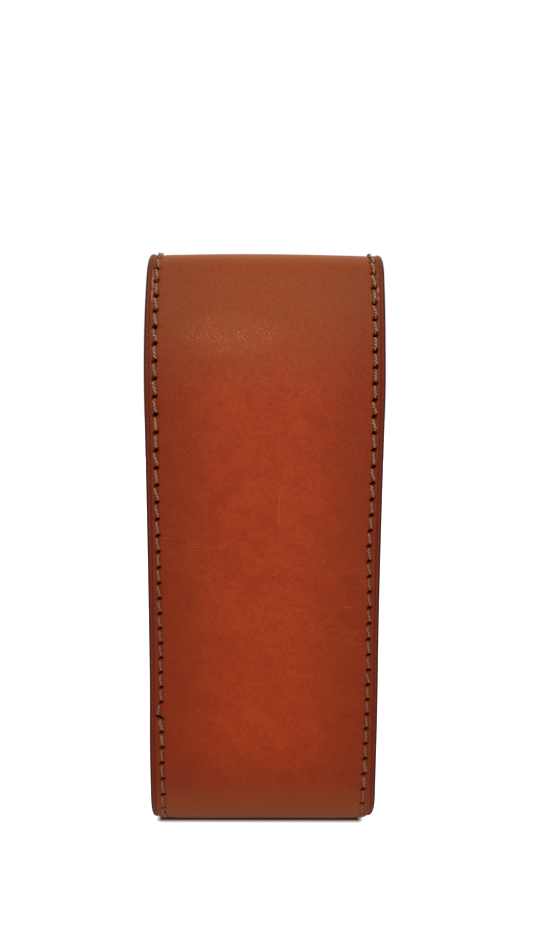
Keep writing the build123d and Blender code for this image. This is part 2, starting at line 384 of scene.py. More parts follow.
def quads(rows, columns, flipped):
    """Faces of a grid of points that are stored row by row."""
    corner = np.arange(rows - 1)[:, None] * columns + np.arange(columns - 1)
    ring = [corner, corner + columns, corner + columns + 1, corner + 1]
    if flipped:
        ring.reverse()
    return np.stack(ring, axis=-1).reshape(-1, 4)


def tube_faces(tubes, rings, sides):
    """Walls and end caps of closed tubes that are stored one after another."""
    ring = np.arange(sides)
    one = np.stack([ring, np.roll(ring, -1), np.roll(ring, -1) + sides, ring + sides], axis=-1)
    strip = (one + np.arange(rings - 1)[:, None, None] * sides).reshape(-1, 4)
    first = np.arange(tubes)[:, None, None] * rings * sides
    wall = (strip + first).reshape(-1, 4)
    caps = np.concatenate([ring[None, ::-1] + first[:, 0], ring[None] + (rings - 1) * sides + first[:, 0]])
    return [wall, caps]


class Sheet:
    """The outline of one sheet of leather, with rounded corners at its open ends."""

    def __init__(self, start, end, half, start_corner=0.0, end_corner=0.0):
        self.start = start
        self.end = end
        self.half = half
        self.start_corner = start_corner
        self.end_corner = end_corner

    def corner(self, distance):
        """The corner's radius and how far a row lies from the open end beside it."""
        near_start = distance - self.start < self.end - distance
        from_start = np.where(self.start_corner > 0, distance - self.start, np.inf)
        from_end = np.where(self.end_corner > 0, self.end - distance, np.inf)
        radius = np.where(near_start, self.start_corner, self.end_corner)
        return radius, np.where(near_start, from_start, from_end)

    def reach(self, distance):
        """Half the width of a row."""
        radius, gap = self.corner(distance)
        short = np.clip(radius - gap, 0, None)
        return self.half - radius + np.sqrt(np.clip(radius ** 2 - short ** 2, 0, None))

    def inset(self, across, distance):
        """How far a point lies from the nearest edge of the sheet."""
        radius, gap = self.corner(distance)
        beside = np.abs(across) - (self.half - radius)
        before = radius - gap
        rounded = radius - np.hypot(beside, before)
        straight = np.minimum(self.half - np.abs(across), gap)
        return np.maximum(np.where((beside > 0) & (before > 0), rounded, straight), 0)


def spread(start, end, spots):
    """Distances from start to end, close together at the spots and wider apart between them."""
    fine = np.linspace(start, end, int((end - start) / fine_step))
    spots = np.sort(np.append(spots, [start - 9 * close_reach, end + 9 * close_reach]))
    after = np.clip(np.searchsorted(spots, fine), 1, len(spots) - 1)
    gap = np.minimum(fine - spots[after - 1], spots[after] - fine)
    step = close_step + (wide_step - close_step) * smooth((gap - close_reach) / close_reach)
    count = np.concatenate([[0], np.cumsum(fine_step / step[1:])])
    rows = np.interp(np.linspace(0, count[-1], int(count[-1]) + 2), count, fine)
    rows[0], rows[-1] = start, end
    return rows


def columns(reach, insets, middle_step):
    """Places across each row: fine at both edges, even between them."""
    inner = reach - insets[-1]
    count = int(2 * inner.max() / middle_step)
    shares = np.linspace(-1, 1, count + 1)[1:-1]
    left = -reach[:, None] + insets
    middle = inner[:, None] * shares
    return np.concatenate([left, middle, -left[:, ::-1]], axis=1)


def rounded_drop(inset, radius):
    """How far a face falls away where its edge is rounded."""
    short = np.clip(radius - inset, 0, radius)
    return radius - np.sqrt(radius ** 2 - short ** 2)


def ringed(outer, inner):
    """Each row as a ring: along the outer face and back along the inner one."""
    return np.concatenate([outer, inner[:, ::-1]], axis=1)


def build_sheet(name, sheet, rows, insets, middle_step, deep, thick, radius, material, finish=None):
    """A closed sheet between two depths under the outer face, which finish gives its relief and masks for
    marks, painted shade and painted glints.
    """
    reach = sheet.reach(rows)
    distance = rows[:, None]
    outer_x = columns(reach, insets, middle_step)
    inner_x = columns(reach, insets[::4], 3 * middle_step)
    outer_inset = sheet.inset(outer_x, distance)
    inner_inset = sheet.inset(inner_x, distance)
    relief, marks_and_painted_light = finish(outer_x, rows, outer_inset) if finish else (0, {})
    outer = line.place(outer_x, distance, -deep - rounded_drop(outer_inset, radius) + relief)
    inner = line.place(inner_x, distance, -deep - thick + rounded_drop(inner_inset, radius))
    outer_skin = np.stack(np.broadcast_arrays(outer_x, distance, deep), axis=-1)
    inner_skin = np.stack(np.broadcast_arrays(inner_x, distance, deep + thick), axis=-1)
    attributes = {label: ringed(values, np.zeros(inner_x.shape)).ravel() for label, values in marks_and_painted_light.items()}
    attributes["skin"] = ringed(outer_skin, inner_skin).reshape(-1, 3)
    attributes["edge"] = 1 - smooth((ringed(outer_inset, inner_inset).ravel() - 0.35) / 0.6)
    wall, caps = tube_faces(1, len(rows), outer_x.shape[1] + inner_x.shape[1])
    faces = [np.roll(wall[:, ::-1], 1, axis=1), caps[:, ::-1]]
    return make_object(name, ringed(outer, inner).reshape(-1, 3), faces, material, attributes)


# Stitch rows


def seen_spots(first, pitch, count, swing, swing_stitches, swing_phase):
    """Distances of the holes of a row that show on the back. Their spacing swings a little, as hand sewing
    does. first is how far the top hole lies below the crest, and one swing takes a number of stitches."""
    number = np.arange(count)
    turn = 2 * pi * number / swing_stitches + swing_phase
    return line.reach(back_top) + first + pitch * number + swing * np.sin(turn)


def row_inset(side, distance):
    """The rows are sewn by eye. Both run inward at the foot, and each has its own slow wander."""
    if side < 0:
        lower = smooth((distance - down_back(86)) / 16) * (1 - smooth((distance - line.reach(base)) / 20))
        wander = left_low_draw * lower + left_foot_draw * about(distance, 8, 13)
        wander = wander - torn_draw * about(distance, 37.3, 2.6)
    else:
        wander = right_waist_draw * about(distance, 86, 10) + right_foot_draw * about(distance, 13, 15)
        wander = wander - right_pull * about(distance, 90, 60)
    ripple = row_ripple * np.sin(distance / 5 + side)
    return stitch_inset + wander + ripple * smooth((distance - cover_corner) / 20)


def even_spots(start, end):
    """Evenly spaced holes from start to end."""
    return np.linspace(start, end, round((end - start) / stitch_pitch) + 1)


def side_row(side, seen, seed):
    """Needle holes of one long side row, from the cover's corner to the mouth."""
    chance = np.random.default_rng(seed)
    before = even_spots(cover_corner, seen[0])[:-1]
    after = even_spots(seen[-1], mouth - stitch_inset)[1:]
    spots = np.concatenate([before, seen, after])
    across = side * (half_width - row_inset(side, spots))
    across[1:] += hole_scatter * chance.standard_normal(len(spots) - 1)
    return np.stack([across, spots], axis=-1)


def cover_end_row():
    """Needle holes round the lower end of the cover, from left to right."""
    radius = cover_corner - stitch_inset
    quarter = radius * pi / 2
    flat = 2 * (half_width - cover_corner)
    total = 2 * quarter + flat
    count = round(total / stitch_pitch)
    spots = []
    for number in range(count + 1):
        travelled = total * number / count
        turn = min(travelled, quarter) / radius + max(travelled - quarter - flat, 0) / radius
        centre = -half_width + cover_corner + min(max(travelled - quarter, 0), flat)
        spots.append((centre - radius * cos(turn), cover_corner - radius * sin(turn)))
    return np.array(spots)


def mouth_row():
    """Needle holes across the front panel, below its mouth."""
    reach = half_width - 2 * stitch_inset
    count = round(2 * reach / stitch_pitch)
    across = np.linspace(-reach, reach, count + 1)
    return np.stack([across, np.full(count + 1, mouth - stitch_inset)], axis=-1)


def press_holes(across, rows, holes):
    """Relief of needle holes and their near-black colour, painted shade with some discolouring. Each is a
    slanted slit with the leather drawn in round it. One is torn into a longer slit that leans the other way."""
    relief = np.zeros(across.shape)
    shade_and_discolouring = np.zeros(across.shape)
    for hole in holes:
        drawn = smooth((hole[1] - down_back(148)) / (down_back(75) - down_back(148)))
        turned = radians(hole_turn + (foot_hole_turn - hole_turn) * drawn)
        half_long = hole_long + (foot_hole_long - hole_long) * drawn
        half_wide = hole_wide + (foot_hole_wide - hole_wide) * drawn
        if np.array_equal(hole, torn_hole):
            turned = radians(slit_turn)
            half_long = slit_long
            half_wide = slit_wide
        low, high = np.searchsorted(rows, [hole[1] - hole_reach, hole[1] + hole_reach])
        gap_x = across[low:high] - hole[0]
        gap_s = rows[low:high, None] - hole[1]
        long = (gap_x * cos(turned) - gap_s * sin(turned)) / half_long
        wide = (gap_x * sin(turned) + gap_s * cos(turned)) / half_wide
        spot = np.exp(-(wide ** 2 + long ** 2) ** 1.5)
        drawn_in = pucker * np.exp(-(gap_x ** 2 + gap_s ** 2) / pucker_reach ** 2)
        relief[low:high] -= hole_depth * spot + drawn_in
        shade_and_discolouring[low:high] = np.maximum(shade_and_discolouring[low:high], np.exp(-((wide ** 2 + long ** 2) / 1.5) ** 2))
    return relief, shade_and_discolouring


def leather_finish(holes, rows_of_lines):
    """The relief of the grain side, with masks for marks, painted shade and painted glints. rows_of_lines
    gives the distance of each point from a stitch line.
    """

    def finish(across, rows, inset):
        relief, shade_and_discolouring = press_holes(across, rows, holes)
        crease = bell(inset - crease_inset, crease_half)
        groove = bell(rows_of_lines(across, rows, inset), groove_half)
        wave = wave_height * np.sin(across / 9 + rows[:, None] / 21) * np.sin(rows[:, None] / 13 + 1)
        from_stud = np.hypot(across, rows[:, None] - stud_distance) - stud_radius
        seat = 1 - smooth((from_stud - seat_margin) / seat_spread)
        relief = relief - crease_depth * crease - groove_depth * groove - stud_sink * seat
        relief = relief + wave * smooth((inset - 4) / 8) * (1 - seat)
        relief = relief + worn_shape(across, rows[:, None], inset)
        margin = 1 - smooth((inset - 2.2) / 0.9)
        ridge = bell(inset - ridge_inset, ridge_half)
        return relief, {"crease": crease, "groove": groove, "hole": shade_and_discolouring, "margin": margin, "ridge": ridge}

    return finish


def worn_shape(across, distance, inset):
    """The top is crowned across its width. Under the base the corners draw up. The margins outside the
    stitching curl up at both."""
    aside = (across / half_width) ** 2
    outside = 1 - smooth((inset - 0.6) / 2.2)
    near_crest = bell(distance - crest_middle, crown_reach)
    crown = near_crest * (crown_rise - (crown_rise + crown_fall) * aside + crest_curl * outside)
    middle = (line.reach(base_back) + line.end_of(base)) / 2 + foot_shift
    near_foot = bell(distance - middle, foot_reach)
    corner_lift = np.where(across < 0, left_corner_lift, right_corner_lift)
    return crown - near_foot * (foot_lift * aside ** 2 + corner_lift * outside)


def stitch_path(stitches, rise, inner_side, share, chance):
    """The middle line of each stitch, its distances and how far along it they are, for the skin. A stitch is
    given by the two holes it runs between."""
    middle = stitches.mean(axis=1)
    along = stitches[:, 1] - stitches[:, 0]
    length = np.linalg.norm(along, axis=-1, keepdims=True)
    starts = stitches[:, 0] + along * thread_start / length
    along = along * (1 - 2 * thread_start / length)
    length = length - 2 * thread_start
    sideways = np.stack([-along[:, 1], along[:, 0]], axis=-1) / length
    slant = stitch_slant * (1 + 0.5 * chance.standard_normal(len(stitches)))
    slant = slant * (1 - low_straightening * smooth((middle[:, 1] - down_back(60)) / 30))
    drift = slant[:, None] * np.cos(pi * share * 0.9)
    hump = stitch_hump * np.sin(pi * share) * (1 + chance.standard_normal(len(stitches)))[:, None]
    if not inner_side:
        strayed = (np.abs(middle[:, 1] - down_back(strayed_height)) < stitch_pitch / 2) & (middle[:, 0] < 0)
        drift = drift + strayed_drift * strayed[:, None] * share
        proud = crest_loop * bell(middle[:, 1] - line.end_of(crest) - crest_loop_drop, crest_loop_reach)
        hump = hump + proud[:, None] * np.sin(pi * share)
    flat = starts[:, None] + along[:, None] * share[:, None] + sideways[:, None] * drift[..., None]
    near_end = np.minimum(share, 1 - share) * length / plunge
    dip = stitch_dip * np.clip(1 - near_end, 0, 1) ** 1.6
    under = smooth((-line.at(flat[..., 1])[1][..., 1] - 0.6) / 0.3)
    way, sink = (-1, 0) if inner_side else (1, stitch_sink * under)
    centre = line.place(flat[..., 0], flat[..., 1], rise + way * (stitch_seat + hump - dip) - sink)
    return centre, flat[..., 1], length * share + starts[:, 1:]


def thread_mesh(stitches, rise, inner_side, seed):
    """Points and skin of twisted two-ply stitches."""
    chance = np.random.default_rng(seed)
    share = np.linspace(0, 1, thread_rings)
    centre, distance, travelled = stitch_path(stitches, rise, inner_side, share, chance)
    tangent = np.gradient(centre, axis=1)
    tangent /= np.linalg.norm(tangent, axis=-1, keepdims=True)
    normal = np.zeros(centre.shape)
    normal[..., 1:] = line.at(distance)[1]
    beside = np.cross(tangent, normal)
    beside /= np.linalg.norm(beside, axis=-1, keepdims=True)
    upward = np.cross(beside, tangent)
    phase = chance.uniform(0, pi, len(stitches))[:, None] + 2 * pi * thread_twist * share
    theta = np.linspace(0, 2 * pi, thread_sides, endpoint=False)
    middle = stitches[..., 1].mean(axis=1)
    thin = 1 - low_thinning * smooth((middle - down_back(130)) / 60)[:, None, None]
    points, skin = [], []
    for ply in range(2):
        turn = phase + pi * ply
        away = np.cos(turn)[..., None] * beside + np.sin(turn)[..., None] * upward
        core = centre + ply_offset * thin * away
        ring = np.cos(theta)[:, None] * beside[:, :, None] + np.sin(theta)[:, None] * upward[:, :, None]
        points.append(core[:, :, None] + ply_radius * thin[..., None] * ring)
        around = theta - turn[:, :, None]
        skin.append(np.stack(np.broadcast_arrays(travelled[:, :, None], around, np.cos(around)), axis=-1))
    points = np.concatenate(points)
    points[..., 2] = np.maximum(points[..., 2], 0)
    return points, np.concatenate(skin)


def build_thread(name, rows, seed):
    """One object for several rows of stitches. Each row is (stitches, rise, whether it is on the inside)."""
    meshes = [thread_mesh(*row, seed + number) for number, row in enumerate(rows)]
    points = np.concatenate([points for points, _ in meshes])
    skin = np.concatenate([skin for _, skin in meshes])
    faces = tube_faces(len(points), thread_rings, thread_sides)
    attributes = {"skin": skin.reshape(-1, 3)}
    return make_object(name, points.reshape(-1, 3), faces, thread_material, attributes, sharp=80)


def pairs(holes):
    """Stitches between neighbouring holes."""
    return np.stack([holes[:-1], holes[1:]], axis=1)


def both_sides(stitches):
    """Rows for the grain side and for the lining side."""
    return [(stitches, 0.0, False), (stitches, -lined_leather, True)]


def doubled(stitches, first_level, last_level):
    """The stitches of the back between two heights, sewn a second time beside the first."""
    middle = stitches[..., 1].mean(axis=1)
    chosen = stitches[(middle > down_back(first_level)) & (middle < down_back(last_level))]
    return chosen + np.array([double_spread, 0.0])


# Materials


class Graph:
    """Builds one material's nodes. Tones are written in display values from 0 to 255."""

    def __init__(self, name):
        self.material = bpy.data.materials.new(name)
        self.material.use_nodes = True
        self.tree = self.material.node_tree
        self.shader = self.tree.nodes["Principled BSDF"]

    def node(self, kind, inputs=(), **settings):
        node = self.tree.nodes.new("ShaderNode" + kind)
        for label, value in settings.items():
            setattr(node, label, value)
        for label, value in dict(inputs).items():
            self.feed(node.inputs[label], value)
        return node

    def feed(self, socket, value):
        if isinstance(value, bpy.types.NodeSocket):
            self.tree.links.new(value, socket)
        else:
            socket.default_value = value

    def attribute(self, label):
        node = self.node("Attribute", attribute_name=label)
        return node.outputs["Vector" if label == "skin" else "Fac"]

    def place(self, on_skin):
        """Where a point lies, on a piece's skin or in a solid, and how long a millimetre is there."""
        if on_skin:
            return self.attribute("skin"), 1.0
        return self.node("TexCoord").outputs["Object"], MM

    def split(self, place):
        return self.node("SeparateXYZ", {"Vector": place}).outputs[:]

    def math(self, operation, *values):
        node = self.node("Math", operation=operation)
        for socket, value in zip(node.inputs, values):
            self.feed(socket, value)
        return node.outputs[0]

    def times(self, first, second):
        return self.math("MULTIPLY", first, second)

    def plus(self, first, second):
        return self.math("ADD", first, second)

    def scaled(self, value, factor, offset):
        return self.math("MULTIPLY_ADD", value, factor, offset)

    def gap(self, place, middle, reach):
        """How far a place lies from a middle, as a share of a reach."""
        return self.math("DIVIDE", self.math("ABSOLUTE", self.math("SUBTRACT", place, middle)), reach)

    def step(self, value, low, high):
        """A soft step from 0 at low to 1 at high."""
        inputs = {"Value": value, "From Min": low, "From Max": high}
        return self.node("MapRange", inputs, interpolation_type="SMOOTHSTEP").outputs["Result"]

    def level_step(self, along, low, high):
        """A soft step on the back from one height to another."""
        return self.step(along, down_back(low), down_back(high))

    def noise(self, place, size, detail=2.0, roughness=0.5):
        """Noise whose lumps are about a size apart."""
        inputs = {"Vector": place, "Scale": 1 / size, "Detail": detail, "Roughness": roughness}
        return self.node("TexNoise", inputs).outputs["Fac"]

    def patches(self, place, size, low, high, detail=2.0, roughness=0.5):
        return self.step(self.noise(place, size, detail, roughness), low, high)

    def pores(self, place, size, low, high):
        cells = self.node("TexVoronoi", {"Vector": place, "Scale": 1 / size})
        return self.step(cells.outputs["Distance"], low, high)

    def stretch(self, place, scale, turn=0.0):
        inputs = {"Vector": place, "Scale": scale, "Rotation": (0.0, 0.0, radians(turn))}
        return self.node("Mapping", inputs).outputs["Vector"]

    def mix(self, share, first, second):
        node = self.node("Mix", data_type="RGBA")
        for socket, value in zip((node.inputs[0], node.inputs[6], node.inputs[7]), (share, first, second)):
            self.feed(socket, value)
        return node.outputs[2]

    def blend(self, share, first_tone, second_tone):
        return self.mix(share, linear(*first_tone), linear(*second_tone))

    def paint(self, colour, share, amount, tone):
        """Lays a tone over a colour."""
        return self.mix(self.times(share, amount), colour, linear(*tone))

    def bump(self, height_socket, distance, strength):
        """distance is the height of the relief in metres."""
        inputs = {"Height": height_socket, "Distance": distance, "Strength": strength}
        return self.node("Bump", inputs).outputs["Normal"]

    def finish(self, **inputs):
        for label, value in inputs.items():
            self.feed(self.shader.inputs[label.replace("_", " ")], value)
        return self.material


def linear(red, green, blue):
    """A tone as the shader's own values."""
    shares = [value / 255 for value in (red, green, blue)]
    values = [share / 12.92 if share <= 0.04045 else ((share + 0.055) / 1.055) ** 2.4 for share in shares]
    return (*values, 1.0)


def wrinkles(graph, across, along, level, slope, reach):
    """Fine parallel wrinkles along a slanting line across the back."""
    skin = graph.attribute("skin")
    sway = graph.times(graph.math("SUBTRACT", graph.noise(skin, 22.0), 0.5), 7.0)
    gap = graph.math("SUBTRACT", graph.math("SUBTRACT", along, down_back(level)), graph.times(across, slope))
    gap = graph.plus(gap, sway)
    zone = graph.step(graph.math("ABSOLUTE", gap), reach, 0.0)
    ripple = graph.math("SINE", graph.times(gap, 6.6))
    broken = graph.patches(graph.stretch(skin, (0.4, 1.0, 1.0)), 2.2, 0.4, 0.64)
    ridge = graph.math("POWER", graph.scaled(ripple, 0.5, 0.5), 2.0)
    return graph.times(graph.times(ridge, broken), zone)


def scratch(graph, across, along, middle, level, half_wide, half_long):
    """A small mark, given by its middle and its half sizes across and along."""
    beside = graph.step(graph.gap(across, middle, half_wide), 1.0, 0.0)
    return graph.times(beside, graph.step(graph.gap(along, down_back(level), half_long), 1.0, 0.6))


def tanned(graph, skin, across, along):
    """The leather's colour: darker at its sides, partly tone and partly painted shade, darker low down with
    painted shade, a painted sheen over painted shade on the shoulder and a painted reflection of the floor at
    the foot.
    """
    colour = graph.blend(graph.patches(skin, 24.0, 0.3, 0.7, 3.0, 0.55), (161, 55, 16), (167, 60, 20))
    mottle = graph.patches(skin, 1.3, 0.32, 0.68, 4.0, 0.6)
    colour = graph.paint(colour, mottle, 0.55, (138, 43, 18))
    colour = graph.paint(colour, graph.patches(skin, 6.0, 0.35, 0.68, 3.0, 0.6), 0.3, (182, 66, 25))
    # Darker towards the sides: partly the leather's tone, partly painted shade where the light falls off.
    aside = graph.step(graph.gap(across, 0.5, 1.0), 6.0, 34.0)
    # Darker low down on the back: painted shade towards the base.
    low = graph.level_step(along, 34, 5)
    low = graph.times(low, graph.step(along, mouth - 60, line.end_of(base)))
    colour = graph.paint(colour, aside, graph.scaled(low, -0.25, 0.7), (112, 35, 10))
    colour = graph.paint(colour, low, 0.55, (96, 36, 20))
    # A paler, hazier tone on the leaning shoulder: painted sheen over painted shade, in cloudy patches.
    clouds = graph.scaled(graph.noise(skin, 7.0, 3.0, 0.6), 0.8, 0.5)
    right_lag = graph.times(graph.math("MAXIMUM", graph.math("SUBTRACT", across, 10.0), 0.0), 0.4)
    painted_sheen = graph.times(graph.level_step(graph.plus(along, right_lag), 124, 153), clouds)
    painted_sheen = graph.times(painted_sheen, graph.step(along, 0.3 * crest_middle, 0.9 * crest_middle))
    sheen_tone = graph.blend(aside, (150, 69, 27), (136, 63, 28))
    sheen_tone = graph.paint(sheen_tone, mottle, 0.35, (120, 50, 22))
    colour = graph.mix(graph.math("MINIMUM", painted_sheen, 1.0), colour, sheen_tone)
    # The very top is mixed from the painted sheen towards a brighter orange.
    topmost = graph.level_step(along, 163.5, 169.6)
    topmost = graph.times(topmost, graph.step(along, 0.8 * crest_middle, crest_middle))
    colour = graph.paint(colour, topmost, 0.6, (174, 88, 22))
    # Paler at the foot: a painted reflection of the pale floor.
    foot = graph.level_step(along, 19.5, 4)
    foot = graph.times(foot, graph.step(along, line.end_of(base_front), line.reach(base_front)))
    return graph.paint(colour, foot, 0.85, (149, 76, 41))


def handled(graph, colour, skin, across, along, marks):
    """Dust in the grain, wrinkles, small marks and the scuffed patch of the shoulder, whose pale flecks are
    partly painted glints.
    """
    dust = graph.times(graph.patches(skin, 0.5, 0.5, 0.75, 2.0, 0.6), graph.level_step(along, 60, 150))
    colour = graph.paint(colour, dust, 0.22, (196, 112, 64))
    colour = graph.paint(colour, marks, 0.3, (186, 84, 44))
    for light_mark in ((4.05, 97.6, 0.22, 5.0), (23.7, 69.8, 2.3, 0.2), (16.8, 83.2, 0.5, 0.4)):
        colour = graph.paint(colour, scratch(graph, across, along, *light_mark), 0.42, (190, 92, 50))
    dark_mark = scratch(graph, across, along, 2.6, 78.3, 0.55, 0.5)
    colour = graph.paint(colour, dark_mark, 0.6, (96, 28, 12))
    # A lighter scuffed patch on the shoulder, with pale flecks that are partly scuffed grain and partly
    # painted glints.
    beside = graph.gap(across, -8.5, 16.0)
    above = graph.gap(along, down_back(146.3), 6.5)
    scuffed_glint_patch = graph.step(graph.plus(graph.times(beside, beside), graph.times(above, above)), 1.3, 0.0)
    colour = graph.paint(colour, scuffed_glint_patch, 0.08, (206, 122, 76))
    glint_flecks = graph.times(graph.patches(skin, 0.5, 0.55, 0.68, 2.0, 0.6), graph.patches(skin, 3.4, 0.42, 0.62))
    return graph.paint(colour, graph.times(scuffed_glint_patch, glint_flecks), 0.48, (226, 150, 104))


def pressed(graph, colour, skin, along):
    """Pressed lines darkened with painted shade, painted glints on the shoulder, the margin, needle holes and
    stitch grooves darkened with painted shade, and the burnished edge.
    """
    # The pressed crease is darkened: painted shade, fainter high up.
    fainter_high = graph.scaled(graph.level_step(along, 152, 126), 0.3, 0.3)
    colour = graph.paint(colour, graph.attribute("crease"), fainter_high, (88, 20, 10))
    colour = graph.paint(colour, graph.attribute("margin"), 0.4, (98, 40, 22))
    # Painted glints along the ridge beside the crease, on the shoulder only.
    glints = graph.times(graph.patches(skin, 2.0, 0.45, 0.6), graph.attribute("ridge"))
    glints = graph.times(glints, graph.level_step(along, 152, 158))
    glints = graph.times(glints, graph.level_step(along, 165, 161))
    colour = graph.paint(colour, glints, 0.5, (226, 158, 134))
    # Painted shade along the grooves that the stitches lie in.
    colour = graph.paint(colour, graph.attribute("groove"), 0.25, (92, 30, 14))
    # Near-black needle holes: painted shade with some discolouring.
    colour = graph.paint(colour, graph.attribute("hole"), 1.0, (22, 6, 4))
    return graph.paint(colour, graph.attribute("edge"), 1.0, (58, 17, 9))


def saddle_leather():
    """Red-brown vegetable-tanned leather."""
    graph = Graph("saddle_leather")
    skin = graph.attribute("skin")
    across, along, _ = graph.split(skin)
    pores = graph.pores(skin, 0.62, 0.28, 0.02)
    marks = graph.plus(wrinkles(graph, across, along, 71.5, 0.43, 6.5),
                       wrinkles(graph, across, along, 84.5, 0.23, 5.0))
    colour = graph.paint(tanned(graph, skin, across, along), pores, 0.4, (90, 26, 12))
    colour = handled(graph, colour, skin, across, along, marks)
    colour = pressed(graph, colour, skin, along)
    relief = graph.times(graph.noise(skin, 0.42, 3.0, 0.6), 0.55)
    relief = graph.math("SUBTRACT", relief, graph.times(pores, 0.5))
    relief = graph.plus(relief, graph.times(marks, 0.6))
    rough = graph.scaled(graph.noise(skin, 5.0, 3.0), 0.14, 0.38)
    rough = graph.plus(rough, graph.times(graph.attribute("edge"), -0.1))
    rough = graph.plus(rough, graph.times(graph.attribute("hole"), 0.3))
    return graph.finish(Base_Color=colour, Roughness=rough, Specular_IOR_Level=0.1,
                        Normal=graph.bump(relief, 0.00004, 0.9))


def plain_leather(name, on_skin, light, dark, grain_size, roughness):
    """Leather without pressed lines, for the gussets and dividers."""
    graph = Graph(name)
    place, unit = graph.place(on_skin)
    colour = graph.blend(graph.patches(place, 14.0 * unit, 0.3, 0.7, 4.0, 0.6), dark, light)
    pores = graph.pores(place, grain_size * unit, 0.35, 0.05)
    colour = graph.paint(colour, pores, 0.25, dark)
    if on_skin:
        colour = graph.paint(colour, graph.attribute("edge"), 1.0, (58, 18, 10))
    grain = graph.noise(place, 0.6 * grain_size * unit, 3.0, 0.6)
    relief = graph.math("SUBTRACT", grain, graph.times(pores, 0.6))
    rough = graph.scaled(graph.noise(place, 4.0 * unit), 0.15, roughness)
    return graph.finish(Base_Color=colour, Roughness=rough, Specular_IOR_Level=0.25,
                        Normal=graph.bump(relief, 0.00004, 0.9))


def suede():
    """The napped lining, in tan."""
    graph = Graph("suede_lining")
    skin = graph.attribute("skin")
    nap = graph.noise(graph.stretch(skin, (1.0, 0.6, 1.0)), 0.5, 4.0, 0.7)
    colour = graph.blend(graph.patches(skin, 9.0, 0.3, 0.7, 3.0), (150, 108, 70), (172, 128, 86))
    colour = graph.paint(colour, graph.step(nap, 0.4, 0.75), 0.35, (120, 82, 52))
    return graph.finish(Base_Color=colour, Roughness=0.92, Specular_IOR_Level=0.1,
                        Sheen_Weight=0.25, Sheen_Roughness=0.5, Normal=graph.bump(nap, 0.00012, 0.8))


def waxed_thread():
    """Brown waxed thread with pale fibre streaks that follow the twist, partly painted highlights, with
    painted shade between the plies and on the lower stitches.
    """
    graph = Graph("waxed_thread")
    skin = graph.attribute("skin")
    travelled, _, crest_of_ply = graph.split(skin)
    fibre_glints = graph.noise(graph.stretch(skin, (2.6, 1.6, 0.4), 24.0), 1.0, 3.0, 0.6)
    colour = graph.blend(graph.patches(skin, 2.6, 0.35, 0.65), (134, 86, 52), (162, 112, 72))
    # Pale fibre streaks as light as the thread's highlights: partly fibre, partly painted highlight.
    colour = graph.paint(colour, graph.step(fibre_glints, 0.42, 0.66), 0.75, (236, 196, 156))
    # The lower stitches are darker: painted shade.
    colour = graph.paint(colour, graph.level_step(travelled, 125, 65), 0.6, (122, 76, 48))
    # The crevices between the plies are darker: painted shade.
    colour = graph.paint(colour, graph.step(crest_of_ply, 0.6, -0.7), 1.0, (88, 50, 28))
    return graph.finish(Base_Color=colour, Roughness=0.38, Specular_IOR_Level=0.4,
                        Normal=graph.bump(fibre_glints, 0.00006, 0.8))


def metal(name, on_skin, light, dark, roughness):
    """Worn metal with fine scratches and duller patches."""
    graph = Graph(name)
    place, unit = graph.place(on_skin)
    dull = graph.patches(place, 2.2 * unit, 0.35, 0.7, 4.0, 0.6)
    scratches = graph.noise(graph.stretch(place, (6.0, 1.0, 1.0), 30.0), 1.3 * unit, 3.0, 0.7)
    rough = graph.scaled(dull, 0.12, roughness)
    rough = graph.plus(rough, graph.times(graph.step(scratches, 0.55, 0.65), 0.08))
    return graph.finish(Base_Color=graph.blend(dull, light, dark), Roughness=rough, Metallic=1.0,
                        Normal=graph.bump(scratches, 0.00001, 0.5))


leather_material = saddle_leather()
gusset_material = plain_leather("gusset_leather", True, (150, 56, 26), (118, 40, 18), 0.6, 0.45)
divider_material = plain_leather("divider_leather", False, (176, 122, 76), (150, 98, 58), 0.8, 0.7)
lining_material = suede()
thread_material = waxed_thread()
brass_material = metal("aged_brass", False, (206, 170, 104), (178, 138, 76), 0.24)
cap_material = metal("cap_brass", True, (206, 170, 104), (178, 138, 76), 0.24)
steel_material = metal("spring_steel", False, (200, 200, 200), (150, 150, 152), 0.2)


# The leather. It is divided finely in from its cut edges and, in the same steps, from its open ends


edge_insets = np.array([0, 0.06, 0.18, 0.35, 0.55, 0.8, 1.0, 1.15, 1.25, 1.33, 1.4, 1.47, 1.55, 1.65, 1.8,
                        2.0, 2.2, 2.36, 2.5, 2.63, 2.75, 2.86, 2.97, 3.08, 3.19, 3.3, 3.42, 3.55, 3.7,
                        3.9, 4.2, 4.7, 5.6, 7.2])
end_insets = edge_insets[edge_insets < end_reach]
plain_insets = np.array([0, 0.05, 0.12, 0.22, 0.4, 1.0, 2.5, 5.0, 8.0])
left_seen = seen_spots(first=12.5, pitch=4.652, count=35, swing=1.1, swing_stitches=25.5, swing_phase=-2.54)
right_seen = seen_spots(first=9.05, pitch=4.542, count=36, swing=0.24, swing_stitches=10.5, swing_phase=-1.2)
left_holes = side_row(-1, left_seen, seed=11)
right_holes = side_row(1, right_seen, seed=12)
torn_hole = left_holes[np.argmin(np.abs(left_holes[:, 1] - down_back(strayed_height) - stitch_pitch / 2))]
side_holes = np.concatenate([left_holes, right_holes])
end_holes = cover_end_row()
mouth_holes = mouth_row()


def near_side_rows(across, rows, inset):
    """Distance from the two long stitch lines."""
    left = np.abs(across + half_width - row_inset(-1, rows)[:, None])
    right = np.abs(across - half_width + row_inset(1, rows)[:, None])
    return np.minimum(left, right)


def near_back_rows(across, rows, inset):
    """Distance from the long stitch lines and the row below the mouth."""
    reach = half_width - 2 * stitch_inset + hole_long
    below = np.hypot(rows[:, None] - (mouth - stitch_inset), np.clip(np.abs(across) - reach, 0, None))
    return np.minimum(near_side_rows(across, rows, inset), below)


